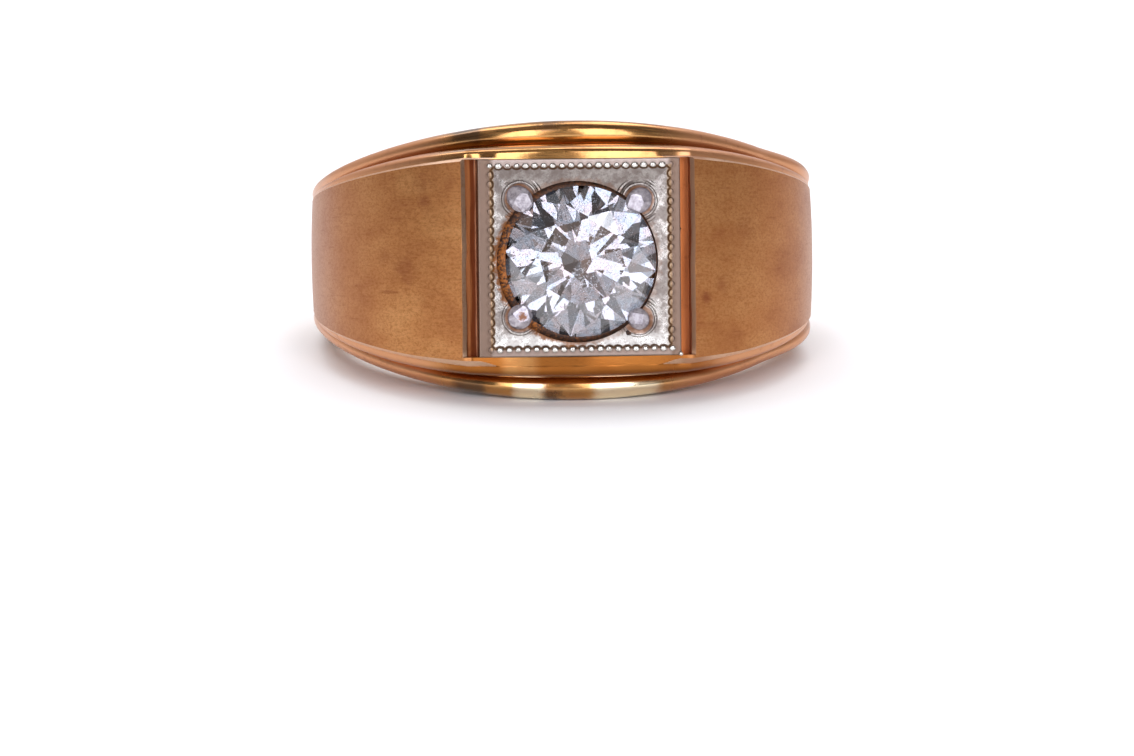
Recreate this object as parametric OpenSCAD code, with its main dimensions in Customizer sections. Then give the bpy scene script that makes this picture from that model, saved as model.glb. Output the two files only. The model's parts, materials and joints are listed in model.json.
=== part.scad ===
// Mens ring: a stepped band with satin shoulders, a square head let into it and one round brilliant.
// Each piece is drawn in the ring's own frame: Y is the finger's axis, +Z points out of the head and
// +X is to the right. The ring then lies on its side as it would by itself, on z = 0, head towards -Y.

/* [Finger hole] */
// Inside diameter of the ring, US size 9
finger_d = 19; // [17:0.1:21]

/* [Band] */
// Wall of the band at the back
back_wall = 1.5; // [1.3:0.1:1.8]
// Width of the band at the back
back_width = 4.4; // [4:0.1:4.8]
// Width of the band at the head
head_band_w = 12.1; // [11.8:0.1:12.4]
// How much further out the rails run at the head than at the back
rail_lift = 0.6; // [0.4:0.1:0.8]
// Width of a rail beside the shoulders
rail_w = 0.74; // [0.6:0.02:0.9]
// What a rail gains in width above and below the head
rail_gain = 0.26; // [0:0.02:0.4]
// Depth of the groove on the inner side of a rail
groove_d = 0.3; // [0.1:0.05:0.4]
// Drop of a rail's round outer edge
rail_drop = 0.55; // [0.4:0.05:0.7]
// Sag of the plain back across its width
back_sag = 0.3; // [0.1:0.05:0.4]

/* [Shoulders] */
// Height of the shoulders above the rails, were they carried on to the head's middle
slab_rise = 2.1; // [1.8:0.05:2.3]
// What that height loses on the way to the sides
slab_dip = 0.25; // [0.2:0.05:0.35]
// Width of the shoulders at the head
slab_w = 9; // [9:0.02:9.2]
// Width of the shoulders, were they carried on to the back
slab_back_w = 3.68; // [3.4:0.02:3.8]
// Crown of the satin face across its width, at the head
slab_crown = 0.2; // [0.05:0.05:0.3]
// Chamfer along the shoulders' long edges
slab_chamfer = 0.13; // [0.05:0.01:0.2]

/* [Head] */
// Width of the head, left to right
head_w = 8.6; // [8.4:0.05:8.7]
// Height of the head, along the finger
head_h = 8.5; // [8.4:0.05:8.5]
// How far the head sits off the band's middle
head_shift = 0.16; // [0:0.01:0.16]
// Top of the head's plate above the finger hole
head_top = 3.45; // [3.3:0.05:3.6]
// Channel left open between the head and a shoulder
channel_w = 0.58; // [0.4:0.02:0.65]
// Floor of the recess above the finger hole
recess_floor = 1.7; // [1.5:0.05:1.8]
// Flat top of the shoulders' slab at the head, above the finger hole
slab_top = 2.8; // [2.7:0.05:2.85]
// Hole under the stone, through to the finger
azure_d = 5.2; // [4:0.1:5.6]

/* [Plate] */
// Width of the frame of milgrain beads
grain_w = 7.83; // [7.6:0.01:7.9]
// Height of that frame
grain_h = 7.92; // [7.6:0.01:8]
// Diameter of a milgrain bead
grain_d = 0.29; // [0.2:0.01:0.32]
// Beads along one side
grain_count = 20; // [16:1:22]
// Slope of the four dished facets
dish_slope = 14; // [10:1:16]
// Round hole that the stone stands in
stone_hole_d = 7.1; // [7:0.05:7.2]

/* [Prongs] */
// Distance of a prong from the middle of the four, along X and along Y
prong_at = 2.55; // [2.53:0.01:2.6]
// Turn of the four prongs against the head
prong_turn = -1.7; // [-2:0.1:2]
// Diameter of a prong
prong_d = 0.96; // [0.8:0.02:1]
// Top of a prong above the plate
prong_top = 0.2; // [0.1:0.05:0.3]
// Outer diameter of the collar round a prong
collar_d = 1.36; // [1.3:0.02:1.4]
// Wall of that collar
collar_wall = 0.13; // [0.1:0.01:0.14]

/* [Stone] */
// Diameter of the stone
stone_d = 6.6; // [6.5:0.02:6.6]
// Table as a share of that diameter
table_share = 0.57; // [0.53:0.01:0.62]
// Angle of the crown's main facets
crown_angle = 34.5; // [32:0.5:36]
// Angle of the pavilion's main facets
pavilion_angle = 40.9; // [40:0.1:41]
// Girdle below the plate's top
girdle_below = 0.33; // [0.3:0.01:0.36]
// Thickness of the girdle
girdle_t = 0.1; // [0.06:0.02:0.16]
// Turn of the stone in its seat
stone_turn = 10; // [0:1:44]
// Play between the stone, the head and the recess
play = 0.02; // [0.02:0.01:0.03]

/* [Hidden] */

SECTIONS = 80;      // sections round the band
FACE_STEPS = 4;     // strips across half a satin face
WALL_STEPS = 4;     // strips down the wall between shoulder and groove
RAIL_STEPS = 3;     // strips on a rail's inner quarter
EDGE_STEPS = 4;     // strips on a rail's outer quarter
RAIL_CREST = 0.45;  // where a rail is highest, as a share of its width from the groove
PLAIN_FROM = 95;    // angle from the head where the steps start to fade
PLAIN_TO = 130;     // angle where the back is plain
EASE = 0.06;        // how softly the shoulders' height ends
BORE_ROUND = [[0.35, 0], [0.12, 0.03], [0.02, 0.11], [-0.2, 0.5]]; // height above the bore, inset of the edge
ROUND = 96;
STONE_AT = [0.06, 0, 0];    // stone and its hole, off the band's middle
GRAIN_AT = [0.06, 0.12, 0]; // middle of the milgrain frame
PRONGS_AT = [0, 0.08, 0];   // middle of the four prongs

finger_r = finger_d / 2;
shank_r = finger_r + back_wall;
plate_z = finger_r + head_top;
floor_z = finger_r + recess_floor;
slab_z = finger_r + slab_top;
recess_x = head_w / 2 + channel_w;
recess_y = head_h / 2 + play;
stone_r = stone_d / 2;
girdle_z = plate_z - girdle_below;
crown_h = stone_r * (1 - table_share) * tan(crown_angle);
pavilion_h = stone_r * tan(pavilion_angle);

// Cross-section of the band at angle a round the finger, 0 at the head and 180 at the back
function nearness(a) = (1 + cos(a)) / 2;
function fade(a) = let (s = min(1, max(0, (abs(a) - PLAIN_FROM) / (PLAIN_TO - PLAIN_FROM)))) s * s * (3 - 2 * s);
function mixed(from, to, share) = from + (to - from) * share;
function eased(x) = (x + sqrt(x * x + 4 * EASE * EASE)) / 2;
function flared(back_w, front_w, front_z, z) =
    mixed(back_w, front_w, pow((z + shank_r) / (front_z + shank_r), 2)) / 2;
function edge_y(a, r) = flared(back_width, head_band_w, shank_r, r * cos(a));
function rail_r(a) = shank_r + rail_lift * pow(nearness(a), 2);
function slab_lift(a) = eased(slab_rise * cos(a) - slab_dip);
function slab_r(a) =
    let (r = rail_r(a) + slab_lift(a))
    cos(a) > 0.5 ? min(r, slab_z / cos(a)) : r;
function slab_y(a) = flared(slab_back_w, slab_w, slab_z, slab_r(a) * cos(a));
function rail_width(a) = rail_w + rail_gain * pow(max(0, cos(a)), 12);
function side_r(a) = rail_r(a) - rail_drop;
function groove_y(a) = max(edge_y(a, side_r(a)) - rail_width(a), slab_y(a) + 0.03);
function groove_r(a) = rail_r(a) - groove_d;
function chamfer(a) = slab_chamfer * min(1, slab_lift(a) / 0.3);
function crown(a) = slab_crown * mixed(0.35, 1, slab_lift(a) / slab_rise);

// Half of it from the middle outwards, as [y, radius]
function stepped_half(a) =
    let (sy = slab_y(a), sr = slab_r(a), c = chamfer(a), gy = groove_y(a), gr = groove_r(a),
         crest_y = mixed(gy, edge_y(a, side_r(a)), RAIL_CREST))
    concat(
        [for (k = [0:FACE_STEPS]) let (y = (sy - c) * k / FACE_STEPS) [y, sr + crown(a) * (1 - pow(y / sy, 2))]],
        [for (k = [0:WALL_STEPS]) let (t = 90 * k / WALL_STEPS)
            [mixed(sy, gy, sin(t)), mixed(gr, sr - c, cos(t))]],
        [for (k = [1:RAIL_STEPS]) let (t = 90 * k / RAIL_STEPS)
            [mixed(gy, crest_y, 1 - cos(t)), mixed(gr, rail_r(a), sin(t))]]);
function plain_r(a, y) = rail_r(a) - back_sag * pow(y / edge_y(a, side_r(a)), 2);
function edge_half(a, crest) =
    let (side_y = edge_y(a, side_r(a)))
    concat(
        [for (k = [1:EDGE_STEPS]) let (t = 90 * k / EDGE_STEPS)
            [mixed(crest[0], side_y, sin(t)), mixed(side_r(a), crest[1], cos(t))]],
        [for (b = BORE_ROUND) [edge_y(a, finger_r + b[0]) - b[1], finger_r + b[0]]]);
function half_section(a) =
    let (top = [for (p = stepped_half(a)) [p[0], mixed(p[1], plain_r(a, p[0]), fade(a))]])
    concat(top, edge_half(a, top[len(top) - 1]));
function section(a) =
    let (half = half_section(a), n = len(half))
    concat([for (k = [n - 1:-1:1]) [-half[k][0], half[k][1]]], half);

shank_points = [for (j = [0:SECTIONS - 1]) let (a = 360 * j / SECTIONS - 180)
    for (p = section(a)) [p[1] * sin(a), p[0], p[1] * cos(a)]];
section_size = len(section(0));

// Points of the brilliant, girdle's upper edge at z = 0; rings of 8 or 16 points from the table down
function ring_points(count, start, r, z) =
    [for (k = [0:count - 1]) let (t = start + 360 * k / count) [r * cos(t), r * sin(t), z]];
table_r = stone_r * table_share;
star_r = (table_r * cos(22.5) + stone_r) / 2;
lower_r = stone_r * 0.23;
stone_points = concat(
    ring_points(8, 0, table_r, crown_h),
    ring_points(8, 22.5, star_r, (stone_r - star_r * cos(22.5)) * tan(crown_angle)),
    ring_points(16, 0, stone_r, 0),
    ring_points(16, 0, stone_r, -girdle_t),
    ring_points(8, 22.5, lower_r, -girdle_t - (stone_r - lower_r * cos(22.5)) * tan(pavilion_angle)),
    [[0, 0, -girdle_t - pavilion_h]]);

// How the ring lies: the tilt at which the head's edge and the back's edge touch the floor together
function lain_z(p, t) = p.y * cos(t) + p.z * sin(t);
function lain_y(p, t) = p.y * sin(t) - p.z * cos(t);
function lowest(t, side) = min([for (p = shank_points) if (p.z * side > 0) lain_z(p, t)]);
function settled(t, tries) =
    tries == 0 ? t : settled(t - atan((lowest(t, 1) - lowest(t, -1)) / (2 * shank_r)), tries - 1);
rest_tilt = settled(10, 4);
rest_z = -lowest(rest_tilt, 1);
back_end = max([for (p = shank_points) lain_y(p, rest_tilt)]);
table_end = lain_y([0, STONE_AT.y - table_r, girdle_z + crown_h], rest_tilt);
rest_y = -(back_end + table_end) / 2;

module lying() {
    translate([0, rest_y, rest_z]) rotate([90 - rest_tilt, 0, 0]) children();
}

// A closed loft through the sections of the band
module band() {
    m = section_size;
    polyhedron(points = shank_points, faces = [
        for (j = [0:SECTIONS - 1], k = [0:m - 1])
            let (a = j * m, b = (j + 1) % SECTIONS * m, n = (k + 1) % m)
            each [[a + k, a + n, b + n], [a + k, b + n, b + k]]]);
}

// What is cut out for the head: a box whose ends flare over the shoulders' inner edges
module recess() {
    flare = 1.5;
    flare_z = slab_z - 0.05;
    translate([0, head_shift + recess_y, 0]) rotate([90, 0, 0]) linear_extrude(2 * recess_y)
        polygon([[-recess_x, floor_z], [recess_x, floor_z], [recess_x, flare_z],
                 [recess_x + flare, flare_z + flare], [-recess_x - flare, flare_z + flare], [-recess_x, flare_z]]);
}

module shank() {
    color("#a9713f") lying() difference() {
        band();
        rotate([90, 0, 0]) cylinder(h = 20, r = finger_r, center = true, $fn = ROUND);
        recess();
        translate(STONE_AT + [0, 0, finger_r - 2]) cylinder(h = 2 + recess_floor + 0.5, d = azure_d, $fn = ROUND);
    }
}

// A four-sided block between two rectangles
module taper(low_size, low_z, high_size, high_z) {
    corners = [[-1, -1], [1, -1], [1, 1], [-1, 1]];
    polyhedron(
        points = [for (s = [[low_size, low_z], [high_size, high_z]]) for (c = corners)
            [c.x * s[0].x / 2, c.y * s[0].y / 2, s[1]]],
        faces = [[0, 1, 2, 3], [7, 6, 5, 4], [4, 5, 1, 0], [5, 6, 2, 1], [6, 7, 3, 2], [7, 4, 0, 3]]);
}

module head_block() {
    bevel = 0.06;
    dish_d = 0.5;
    dish_in = 2 * dish_d / tan(dish_slope);
    rim = grain_d * 0.8;
    difference() {
        union() {
            translate([-head_w / 2, head_shift - head_h / 2, floor_z + play])
                cube([head_w, head_h, plate_z - bevel - floor_z - play]);
            translate([0, head_shift, 0])
                taper([head_w, head_h], plate_z - bevel, [head_w - 2 * bevel, head_h - 2 * bevel], plate_z);
        }
        translate(GRAIN_AT)
            taper([grain_w - rim - dish_in, grain_h - rim - dish_in], plate_z - dish_d,
                  [grain_w - rim, grain_h - rim], plate_z + 0.001);
    }
}

module milgrain() {
    for (k = [0:grain_count - 1], side = [-1, 1]) {
        along = side * (k / grain_count - 0.5);
        for (at = [[along * grain_w, side * grain_h / 2], [-side * grain_w / 2, along * grain_h]])
            translate([GRAIN_AT.x + at.x, GRAIN_AT.y + at.y, plate_z - 0.02]) sphere(d = grain_d, $fn = 16);
    }
}

module at_prongs() {
    translate(PRONGS_AT) rotate(prong_turn)
        for (x = [-1, 1], y = [-1, 1]) translate([x * prong_at, y * prong_at, finger_r]) children();
}

// A prong with its bevelled flat top
module prong() {
    r = prong_d / 2;
    top = head_top + prong_top;
    rotate_extrude($fn = ROUND)
        polygon([[0, recess_floor + 0.4], [r, recess_floor + 0.4], [r, top - 0.2], [r * 0.8, top - 0.06],
                 [r * 0.45, top], [0, top]]);
}

module collar() {
    outer = collar_d / 2;
    top = head_top - 0.08;
    rotate_extrude($fn = ROUND)
        polygon([[outer - collar_wall, recess_floor + 0.4], [outer, recess_floor + 0.4], [outer, top - 0.05],
                 [outer - collar_wall / 2, top], [outer - collar_wall, top - 0.05]]);
}

// Room for the stone: its outline turned round, a little larger
module stone_room() {
    low = -girdle_t - play;
    high = play;
    rotate_extrude($fn = ROUND)
        polygon([[0, low - pavilion_h - play], [stone_r + play, low], [stone_r + play, high],
                 [table_r + play, crown_h + 2 * play], [table_r + play, crown_h + 1], [0, crown_h + 1]]);
}

module setting() {
    ledge = girdle_z - 0.5;
    color("#bdb8b6") lying() difference() {
        union() {
            difference() {
                union() {
                    head_block();
                    milgrain();
                    at_prongs() collar();
                }
                translate(STONE_AT) {
                    translate([0, 0, ledge]) cylinder(h = 2, d = stone_hole_d, $fn = ROUND);
                    translate([0, 0, floor_z - 1]) cylinder(h = 2, d = azure_d - 0.4, $fn = ROUND);
                }
            }
            at_prongs() prong();
        }
        translate(STONE_AT + [0, 0, girdle_z]) stone_room();
    }
}

module diamond() {
    table = 0;
    star = 8;
    upper = 16;
    lower = 32;
    deep = 48;
    culet = 56;
    color("#dfe6ee") lying() translate(STONE_AT + [0, 0, girdle_z]) rotate(stone_turn)
        polyhedron(points = stone_points, faces = concat(
            [[for (k = [7:-1:0]) table + k]],
            [for (k = [0:7]) each let (n = (k + 1) % 8, g = 2 * k, h = 2 * k + 1, i = (2 * k + 2) % 16) [
                [table + k, table + n, star + k],
                [table + n, star + n, upper + i, star + k],
                [star + k, upper + h, upper + g],
                [star + k, upper + i, upper + h],
                [upper + g, upper + h, lower + h, lower + g],
                [upper + h, upper + i, lower + i, lower + h],
                [lower + g, lower + h, deep + k],
                [lower + h, lower + i, deep + k],
                [deep + k, lower + i, deep + n, culet]]]));
}

shank();
setting();
diamond();
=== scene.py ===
import json
import math

import bmesh
import bpy
from mathutils import Matrix, Vector, noise


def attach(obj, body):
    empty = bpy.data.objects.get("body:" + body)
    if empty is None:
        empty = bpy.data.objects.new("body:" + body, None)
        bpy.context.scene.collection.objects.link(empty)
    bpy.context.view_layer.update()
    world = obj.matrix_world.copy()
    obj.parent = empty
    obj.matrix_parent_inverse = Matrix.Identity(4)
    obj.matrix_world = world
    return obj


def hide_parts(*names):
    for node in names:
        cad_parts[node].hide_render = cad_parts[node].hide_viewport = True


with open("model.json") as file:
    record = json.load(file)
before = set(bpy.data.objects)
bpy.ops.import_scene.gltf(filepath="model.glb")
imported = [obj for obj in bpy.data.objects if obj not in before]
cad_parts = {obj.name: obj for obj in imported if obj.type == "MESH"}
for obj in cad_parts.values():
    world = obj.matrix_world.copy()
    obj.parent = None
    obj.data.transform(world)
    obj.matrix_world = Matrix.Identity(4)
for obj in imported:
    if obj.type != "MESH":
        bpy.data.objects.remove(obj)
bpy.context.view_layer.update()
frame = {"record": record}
noise.seed_set(1)    # noise_vector gives the same in every run

# Everything is modelled in the ring's own frame, in millimetres: Y is the finger's axis, +Z points
# out of the head and +X is to the right. LYING lays it on the floor, in metres, where the model lies.
MM = 0.001
FINGER = next(m for m in frame["record"]["mounts"] if m["name"] == "finger_hole")
REST_TILT = math.atan2(FINGER["axis"][1], FINGER["axis"][2])
TURN_UP = Matrix.Rotation(math.pi / 2 - REST_TILT, 4, "X")
LYING = Matrix.Translation(FINGER["pos_m"]) @ TURN_UP @ Matrix.Scale(MM, 4)

# Band
FINGER_R = FINGER["dims"]["r_mm"]
SHANK_R = FINGER_R + 1.5
MEAN_R = 12                   # of the band's outside, for the way round it
BACK_WIDTH = 4.4
HEAD_BAND_W = 12.1
RAIL_LIFT = 0.6               # how much further out a rail lies at the head
RAIL_W = 0.74
RAIL_GAIN = 0.26              # how much wider it is there
RAIL_CREST = 0.45             # place of its crest, as a share of its width
RAIL_DROP = 0.55              # from the crest to the rail's outer side
GROOVE_D = 0.3
GROOVE_FILL = 0.1             # depth of the dirt and wear in the groove
BAND_FULL = 3.4               # 2 would make the band a quarter of an ellipse, more makes it fuller
BORE_ROUND = (                # height above the bore, and how far in
    (0.35, 0), (0.12, 0.03), (0.02, 0.11), (0, 0.145),
)
PLAIN_FROM_TO = (math.radians(95), math.radians(130))    # angles over which the rails end, behind
BACK_SAG = 0.3                # how much the plain back is rounded across
RIGHT_LIFT = 0.9              # the rail at the right comes that near to the shoulder's level
RIGHT_LIFT_FROM_TO = (math.radians(48), math.radians(74))

# Shoulders
SLAB_RISE = 2.1               # above the rails
SLAB_DIP = 0.25               # they run into the band before the ring's widest place
SLAB_W = 9
SLAB_BACK_W = 3.68
SLAB_CROWN = 0.2              # how much they are rounded across
SLAB_CROWN_LEFT = 0.35        # what is left of that at their ends, as a share
SLAB_CHAMFER = 0.13
SLAB_Z = FINGER_R + 2.8       # of their flat inner ends
FLAT_WITHIN = math.radians(60)          # angle up to which they can be flat
EASE = 0.06                   # roundness where one form runs into another
ARCH_RISE = 0.6               # the bands above and below the head rise in an arch over it
ARCH_HALF = 4.6               # half the arch's length
LOW_CHAMFER = 1.8             # the lower chamfer is that many times as wide near the head
LOW_CHAMFER_FROM_TO = (9, 4.5)          # distances from the head's middle over which it widens
TOP_CHAMFER = 0.6             # the upper one is that share as wide away from the head
TOP_CHAMFER_FROM_TO = (8.5, 5)
CHAMFER_ENDS = (3.3, 4.4)     # distances over which both taper off, above and below the head
CHAMFER_LEFT = 0.03           # what is left of them there, as a share
FLARE_DEPTH = 0.19            # worn edge between a shoulder and the recess
FLARE_LIE = 1.75              # how much wider than high that edge is
FLARE_TOP = 1.5               # height up to which the cutter flares
RECESS_UNEVEN = 0.012

# Head and the recess that it stands in
HEAD_W = 8.72
HEAD_H = 8.5
HEAD_SHIFT = 0.16             # the head's middle lies that much above the stone's
HEAD_ROUND = 0.06
PLATE_Z = FINGER_R + 3.45
FLOOR_Z = FINGER_R + 1.7
ROOT_Z = FLOOR_Z + 0.4        # where collars and prongs start, inside the head
CHANNEL_W = 0.51
PLAY = 0.02
AZURE_R = 2.6                 # opening in the band under the stone
SEAT_R = AZURE_R - 0.2        # and in the head
DISH_DEPTH = 0.5
DISH_SLOPE = math.radians(14)
STONE_AT = Vector((0.06, 0, 0))
HOLE_AT = Vector((-0.09, -0.015, 0))
STONE_HOLE_R = 3.48
DIRT_WAY = Vector((-0.95, -0.3))        # the side on which the dirt round the stone lies thick
DIRT_RISE = 0.09
PIT_AT = Vector((2.07, -3.1, PLATE_Z - 0.06))
PIT_R = 0.13
SOLDER_DROPS = (    # x, y, z and radius
    (4.33, -4.02, PLATE_Z + 0.01, 0.1),
    (4.35, 1.36, PLATE_Z - 0.1, 0.055),
)

# Milgrain: the rows' width, height and middle, and the beads in each
GRAIN_W = 7.83
GRAIN_H = 7.92
GRAIN_AT = Vector((0.06, 0.18, 0))
GRAIN_COUNT = 20
GRAIN_R = 0.13
GRAIN_LENGTH = 1.2            # how much longer than wide a bead is
GRAIN_SUNK = 0.025
GRAIN_OFF = 0.02              # how far a bead can be off its place, in mm
GRAIN_UNEVEN = 0.15           # and how much larger or smaller it can be, as a share
GRAIN_CUT = 0.7               # the plate's dish starts that many bead radii inside the rows

# Prongs: place in mm, half the width, half the length towards the stone, and lean that way. Then the flats
# filed on each: the way that it faces from the stone's side and its slope, in degrees, and its share of
# the way from the middle to the round end.
PRONGS = (
    (-2.56, 2.72, 0.53, 0.62, 0.17, (
        (10, 12, 0.68), (0, 42, 0.86), (62, 50, 0.88), (-75, 42, 0.9), (180, 46, 0.86),
    )),
    (2.6, 2.59, 0.53, 0.6, 0.14, (
        (-30, 14, 0.7), (15, 48, 0.84), (95, 44, 0.86), (-60, 50, 0.88), (160, 40, 0.88),
    )),
    (-2.6, -2.37, 0.53, 0.54, 0.1, (
        (40, 12, 0.72), (-20, 50, 0.88), (75, 45, 0.85), (-110, 44, 0.9), (170, 42, 0.86),
    )),
    (2.53, -2.514, 0.46, 0.5, 0.03, (
        (0, 5, 0.8), (60, 34, 0.9), (130, 44, 0.9), (-50, 40, 0.88), (-140, 33, 0.9),
    )),
)
PRONG_TOP = PLATE_Z + 0.24
PRONG_DOME = 0.42             # height of a prong's round end
PRONG_UNEVEN = 0.03
PRONG_CORE_AT = (-2.52, -2.33, PLATE_Z + 0.18)         # brown middle of the lower left prong
COLLARS = ((0.79, 0.13, -0.03), (1.04, 0.2, -0.13))    # radius, wall, height above the border

# Stone
STONE_R = 3.3
TABLE_R = STONE_R * 0.57
CROWN_ANGLE = math.radians(34.5)
PAVILION_ANGLE = math.radians(40.9)
CROWN_H = (STONE_R - TABLE_R) * math.tan(CROWN_ANGLE)
PAVILION_H = STONE_R * math.tan(PAVILION_ANGLE)
PAVILION_STAR = 0.23          # how far out the lower facets meet, as a share of the radius
GIRDLE_Z = PLATE_Z - 0.334
GIRDLE_T = 0.1
GIRDLE_WAVE = 0.03            # how much thicker the girdle is where facets meet
CULET = 0.02
SEAT_Z = GIRDLE_Z - 0.5
STONE_TURN = math.radians(37)

# Camera, as it stood to the ring in the photograph, in mm
CAMERA_DISTANCE = 240
CAMERA_TURN = math.radians(4.09)
CAMERA_PITCH = math.radians(-3.01)
CAMERA_ROLL = math.radians(0.58)
CAMERA_ASIDE = (0.38, -5.68)
PX_PER_MM = 22.01
PHOTO_WIDTH_PX = 1134
SENSOR_W = 36


def mixed(low, high, share):
    return low + (high - low) * share


def smooth(low, high, value):
    """Smoothly from 0 at low to 1 at high, also where high is the lower number."""
    share = min(1, max(0, (value - low) / (high - low)))
    return share * share * (3 - 2 * share)


# Cross-section of the band at angle a round the finger, 0 at the head

def eased(x):
    """x, or 0 where x is less, with the corner between them rounded."""
    return (x + math.sqrt(x * x + 4 * EASE * EASE)) / 2


def flared(back_w, front_w, front_z, z):
    """Half the width at height z, which grows from the back to the head."""
    return mixed(back_w, front_w, ((z + SHANK_R) / (front_z + SHANK_R)) ** 2) / 2


def edge_y(a, r):
    return flared(BACK_WIDTH, HEAD_BAND_W, SHANK_R, r * math.cos(a))


def rail_r(a):
    return SHANK_R + RAIL_LIFT * ((1 + math.cos(a)) / 2) ** 2


def slab_lift(a):
    return eased(SLAB_RISE * math.cos(a) - SLAB_DIP)


def slab_r(a):
    r = rail_r(a) + slab_lift(a)
    return min(r, SLAB_Z / math.cos(a)) if abs(a) < FLAT_WITHIN else r


def slab_y(a):
    return flared(SLAB_BACK_W, SLAB_W, SLAB_Z, slab_r(a) * math.cos(a))


def rail_width(a):
    return RAIL_W + RAIL_GAIN * max(0, math.cos(a)) ** 12


def side_r(a):
    return rail_r(a) - RAIL_DROP


def groove_y(a):
    return max(edge_y(a, side_r(a)) - rail_width(a), slab_y(a) + 0.03)


def right_lift(a):
    """The rail on the right comes level with the shoulder before the shoulder ends."""
    return RIGHT_LIFT * slab_lift(a) * smooth(*RIGHT_LIFT_FROM_TO, a)


def groove_r(a):
    return rail_r(a) + right_lift(a) - GROOVE_D


def chamfer_width(a, x, side):
    """The chamfer at angle a, x mm from the head's middle. The lower one widens towards the head."""
    if side < 0:
        worn = mixed(1, LOW_CHAMFER, smooth(*LOW_CHAMFER_FROM_TO, x))
    else:
        worn = mixed(TOP_CHAMFER, 1, smooth(*TOP_CHAMFER_FROM_TO, x))
    ends = mixed(CHAMFER_LEFT, 1, smooth(*CHAMFER_ENDS, x))
    return SLAB_CHAMFER * worn * min(1, slab_lift(a) / 0.3) * ends


class Section:
    """Half a cross-section at one angle. Each strip gives a point [y, radius] for a share from 0 to 1."""

    def __init__(self, a, side):
        self.a = a
        self.sy = slab_y(a)
        self.sr = slab_r(a)
        x = abs(SLAB_Z * math.tan(a)) if abs(a) < FLAT_WITHIN else SLAB_Z
        self.sr += ARCH_RISE * eased(1 - (x / ARCH_HALF) ** 2)
        self.chamfer = chamfer_width(a, x, side)
        self.crown = SLAB_CROWN * mixed(SLAB_CROWN_LEFT, 1, slab_lift(a) / SLAB_RISE)
        self.gy = groove_y(a)
        self.gr = groove_r(a)
        self.rail = rail_r(a) + right_lift(a)
        self.side = side_r(a) + right_lift(a)
        self.side_y = edge_y(a, self.side)
        self.crest_y = mixed(self.gy, self.side_y, RAIL_CREST)
        self.plain = smooth(*PLAIN_FROM_TO, abs(a))

    def faded(self, y, r):
        """Towards the back, shoulders and rails give way to a plain band."""
        plain_r = self.rail - BACK_SAG * (y / self.side_y) ** 2
        return y, mixed(r, plain_r, self.plain)

    def face(self, share):
        y = (self.sy - self.chamfer) * share
        return self.faded(y, self.sr + self.crown * (1 - (y / self.sy) ** 2))

    def edge(self, share):
        y = self.sy - self.chamfer
        r = self.sr + self.crown * (1 - (y / self.sy) ** 2)
        return self.faded(mixed(y, self.sy, share), mixed(r, self.sr - self.chamfer, share))

    def band(self, share):
        t = share * math.pi / 2
        r = mixed(self.gr, self.sr - self.chamfer, math.cos(t) ** (2 / BAND_FULL))
        return self.faded(mixed(self.sy, self.gy, math.sin(t) ** (2 / BAND_FULL)), self.filled(r))

    def rail_in(self, share):
        t = share * math.pi / 2
        r = mixed(self.gr, self.rail, math.sin(t))
        return self.faded(mixed(self.gy, self.crest_y, 1 - math.cos(t)), self.filled(r))

    def filled(self, r):
        """The groove is rounded by wear and partly filled with dirt."""
        return self.gr + GROOVE_FILL + eased(r - self.gr - GROOVE_FILL)

    def rail_out(self, share):
        t = share * math.pi / 2
        crest_y, crest_r = self.rail_in(1)
        return mixed(crest_y, self.side_y, math.sin(t)), mixed(self.side, crest_r, math.cos(t))

    def flank(self, share):
        points = [(self.side_y, self.side)]
        for height, inset in BORE_ROUND:
            points.append((edge_y(self.a, FINGER_R + height) - inset, FINGER_R + height))
        place = share * (len(points) - 1)
        k = min(int(place), len(points) - 2)
        return tuple(mixed(points[k][j], points[k + 1][j], place - k) for j in range(2))

    def bore(self, share):
        return self.flank(1)[0] * (1 - share), FINGER_R


# Strips of half the section from the middle outwards, with the steps in each
STRIPS = (
    ("face", 16), ("edge", 2), ("band", 12), ("rail_in", 8), ("rail_out", 12), ("flank", 8), ("bore", 4),
)
FACE, EDGE, BAND, RAIL_IN, RAIL_OUT = range(5)
WAVY = (BAND, RAIL_IN, RAIL_OUT)
WAVE_SIZE = 1.6         # of the worn rails' uneven surface
WAVE_DEPTH = 0.012
SPIN_STEPS = 560
HEAD_SHARE = 0.4        # how much closer the steps stand at the head
INSIDE = 0.99           # keeps the finer mesh inside the model's box, outwards
INSIDE_Y = 0.9985       # and across
BESIDE = 0.3            # how far past the head the shoulders' ends are polished

# Material slots of the shank
SATIN, POLISHED, WORN_EDGE, CHANNEL = range(4)


def spun(bm, geom, axis, steps):
    """Turns the geometry once round the axis."""
    bmesh.ops.spin(
        bm, geom=geom, cent=(0, 0, 0), axis=axis, dvec=(0, 0, 0),
        angle=2 * math.pi, steps=steps, use_merge=True, use_duplicate=False,
    )


def half_profile():
    """(strip number, share) of each point, from the middle of the face to the middle of the bore."""
    points = [(0, 0.0)]
    for number, (_, steps) in enumerate(STRIPS):
        points += [(number, (k + 1) / steps) for k in range(steps)]
    return points


def at(section, strip, share):
    return getattr(section, STRIPS[strip][0])(share)


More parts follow.
